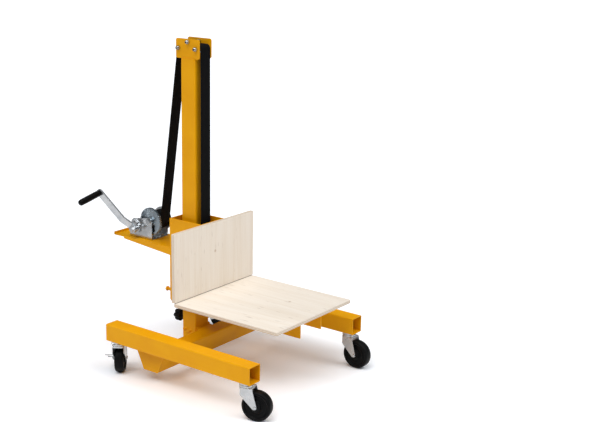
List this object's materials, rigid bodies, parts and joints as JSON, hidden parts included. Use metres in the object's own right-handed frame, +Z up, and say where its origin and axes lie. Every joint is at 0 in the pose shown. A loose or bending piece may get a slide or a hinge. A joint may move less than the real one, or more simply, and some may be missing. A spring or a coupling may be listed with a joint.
{
  "type": "manual winch stacker",
  "caption": "Yellow straddle-leg lift truck with a hand winch, a strap over the mast head, a plywood deck with a back board, and swivel casters.",
  "frame": {"origin": "centre of the footprint's bounding box, on the floor", "axes": "+Z up along the mast, -Y towards the load, +Y towards the operator, -X to the operator's right"},
  "size_m": [0.6341, 0.9206, 1.144],
  "materials": {
    "yellow_paint": "semi-gloss",
    "zinc": "zinc plated",
    "webbing": "woven",
    "black_plastic": "matt",
    "plywood": "sanded",
    "black_rubber": "satin"
  },
  "bodies": {
    "base": {"left_leg": "yellow_paint", "right_leg": "yellow_paint", "cross_beam": "yellow_paint", "beam_end_plates": "yellow_paint", "mast_post": "yellow_paint", "left_head_plate": "yellow_paint", "right_head_plate": "yellow_paint", "head_bolts": "zinc", "strap_front": "webbing", "strap_top": "webbing", "strap_rear": "webbing", "lower_stop": "yellow_paint", "knob_boss": "yellow_paint", "caster_stems": "zinc", "caster_races": "zinc"},
    "carriage": {"left_cheek": "yellow_paint", "right_cheek": "yellow_paint", "front_plate": "yellow_paint", "rear_plate": "yellow_paint", "deck_board": "plywood", "back_board": "plywood", "board_screws": "zinc", "carriage_cross_bolts": "zinc", "side_guide_pads": "black_plastic", "rear_guide_pad": "black_plastic", "adjusting_screws": "yellow_paint", "strap_eye": "webbing", "winch_tray": "yellow_paint", "winch_frame": "zinc", "winch_bolts": "zinc", "winch_pins": "zinc"},
    "upper_guide": {"upper_guide_roller": "zinc"},
    "lower_guide": {"lower_guide_roller": "zinc"},
    "front_head": {"front_head_roller": "zinc"},
    "rear_head": {"rear_head_roller": "zinc"},
    "drum": {"drum": "zinc", "drum_gear": "zinc", "strap_coil": "webbing"},
    "crank": {"pinion_shaft": "zinc", "ratchet_wheel": "zinc", "crank_arm": "zinc", "crank_fasteners": "zinc"},
    "grip": {"grip": "black_plastic"},
    "pawl": {"pawl": "zinc"},
    "knob": {"star_knob": "black_plastic"},
    "front_right_caster": {"front_right_fork": "zinc", "front_right_axle": "zinc"},
    "front_right_wheel": {"front_right_wheel": "black_rubber"},
    "front_left_caster": {"front_left_fork": "zinc", "front_left_axle": "zinc"},
    "front_left_wheel": {"front_left_wheel": "black_rubber"},
    "rear_right_caster": {"rear_right_fork": "zinc", "rear_right_axle": "zinc"},
    "rear_right_wheel": {"rear_right_wheel": "black_rubber"},
    "rear_right_brake": {"rear_right_brake": "zinc"},
    "rear_left_caster": {"rear_left_fork": "zinc", "rear_left_axle": "zinc"},
    "rear_left_wheel": {"rear_left_wheel": "black_rubber"},
    "rear_left_brake": {"rear_left_brake": "zinc"}
  },
  "joints": [
    {"name": "carriage_lift", "type": "slide", "parent": "base", "child": "carriage", "axis": [0, 0, 1], "range_m": [0, 0.53], "deforming": ["strap_front", "strap_rear"]},
    {"name": "drum_spin", "type": "hinge", "parent": "carriage", "child": "drum", "pos_m": [0, 0.2767, 0.482], "axis": [1, 0, 0], "range_deg": [0, 1600]},
    {"name": "crank_spin", "type": "hinge", "parent": "carriage", "child": "crank", "pos_m": [0, 0.32813, 0.4511], "axis": [1, 0, 0], "range_deg": [-6400, 0]},
    {"name": "grip_spin", "type": "hinge", "parent": "crank", "child": "grip", "pos_m": [-0.1141, 0.44696, 0.57545], "axis": [-0.9816, -0.1318, -0.1379], "continuous": true},
    {"name": "pawl_lift", "type": "hinge", "parent": "carriage", "child": "pawl", "pos_m": [0, 0.34813, 0.4736], "axis": [1, 0, 0], "range_deg": [-35, 0]},
    {"name": "upper_guide_spin", "type": "hinge", "parent": "carriage", "child": "upper_guide", "pos_m": [0, 0.1395, 0.435], "axis": [1, 0, 0], "range_deg": [0, 2250]},
    {"name": "lower_guide_spin", "type": "hinge", "parent": "carriage", "child": "lower_guide", "pos_m": [0, 0.0499, 0.241], "axis": [1, 0, 0], "range_deg": [-2250, 0]},
    {"name": "front_head_spin", "type": "hinge", "parent": "base", "child": "front_head", "pos_m": [0, 0.0607, 1.112], "axis": [1, 0, 0], "range_deg": [-2430, 0]},
    {"name": "rear_head_spin", "type": "hinge", "parent": "base", "child": "rear_head", "pos_m": [0, 0.1367, 1.112], "axis": [1, 0, 0], "range_deg": [-2430, 0]},
    {"name": "knob_turn", "type": "hinge", "parent": "base", "child": "knob", "pos_m": [0, 0.1557, 0.147], "axis": [0, 1, 0], "continuous": true},
    {"name": "front_right_swivel", "type": "hinge", "parent": "base", "child": "front_right_caster", "pos_m": [-0.2885, -0.3743, 0.126], "axis": [0, 0, 1], "continuous": true},
    {"name": "front_right_roll", "type": "hinge", "parent": "front_right_caster", "child": "front_right_wheel", "pos_m": [-0.27798, -0.40873, 0.05], "axis": [0.9563, 0.2924, 0], "continuous": true},
    {"name": "front_left_swivel", "type": "hinge", "parent": "base", "child": "front_left_caster", "pos_m": [0.2885, -0.3743, 0.126], "axis": [0, 0, 1], "continuous": true},
    {"name": "front_left_roll", "type": "hinge", "parent": "front_left_caster", "child": "front_left_wheel", "pos_m": [0.2885, -0.4103, 0.05], "axis": [1, 0, 0], "continuous": true},
    {"name": "rear_right_swivel", "type": "hinge", "parent": "base", "child": "rear_right_caster", "pos_m": [-0.2885, 0.1917, 0.126], "axis": [0, 0, 1], "continuous": true},
    {"name": "rear_right_roll", "type": "hinge", "parent": "rear_right_caster", "child": "rear_right_wheel", "pos_m": [-0.25938, 0.21286, 0.05], "axis": [-0.5878, 0.809, 0], "continuous": true},
    {"name": "rear_right_brake_press", "type": "hinge", "parent": "rear_right_caster", "child": "rear_right_brake", "pos_m": [-0.25938, 0.21286, 0.05], "axis": [-0.5878, 0.809, 0], "range_deg": [0, 12]},
    {"name": "rear_left_swivel", "type": "hinge", "parent": "base", "child": "rear_left_caster", "pos_m": [0.2885, 0.1917, 0.126], "axis": [0, 0, 1], "continuous": true},
    {"name": "rear_left_roll", "type": "hinge", "parent": "rear_left_caster", "child": "rear_left_wheel", "pos_m": [0.29289, 0.22743, 0.05], "axis": [-0.9925, 0.1219, 0], "continuous": true},
    {"name": "rear_left_brake_press", "type": "hinge", "parent": "rear_left_caster", "child": "rear_left_brake", "pos_m": [0.29289, 0.22743, 0.05], "axis": [-0.9925, 0.1219, 0], "range_deg": [0, 12]}
  ],
  "couplings": [
    {"joint": "drum_spin", "follows": "carriage_lift", "rad_per_m": 52.632},
    {"joint": "crank_spin", "follows": "carriage_lift", "rad_per_m": -210.53},
    {"joint": "upper_guide_spin", "follows": "carriage_lift", "rad_per_m": 74.074},
    {"joint": "lower_guide_spin", "follows": "carriage_lift", "rad_per_m": -74.074},
    {"joint": "front_head_spin", "follows": "carriage_lift", "rad_per_m": -80},
    {"joint": "rear_head_spin", "follows": "carriage_lift", "rad_per_m": -80}
  ]
}
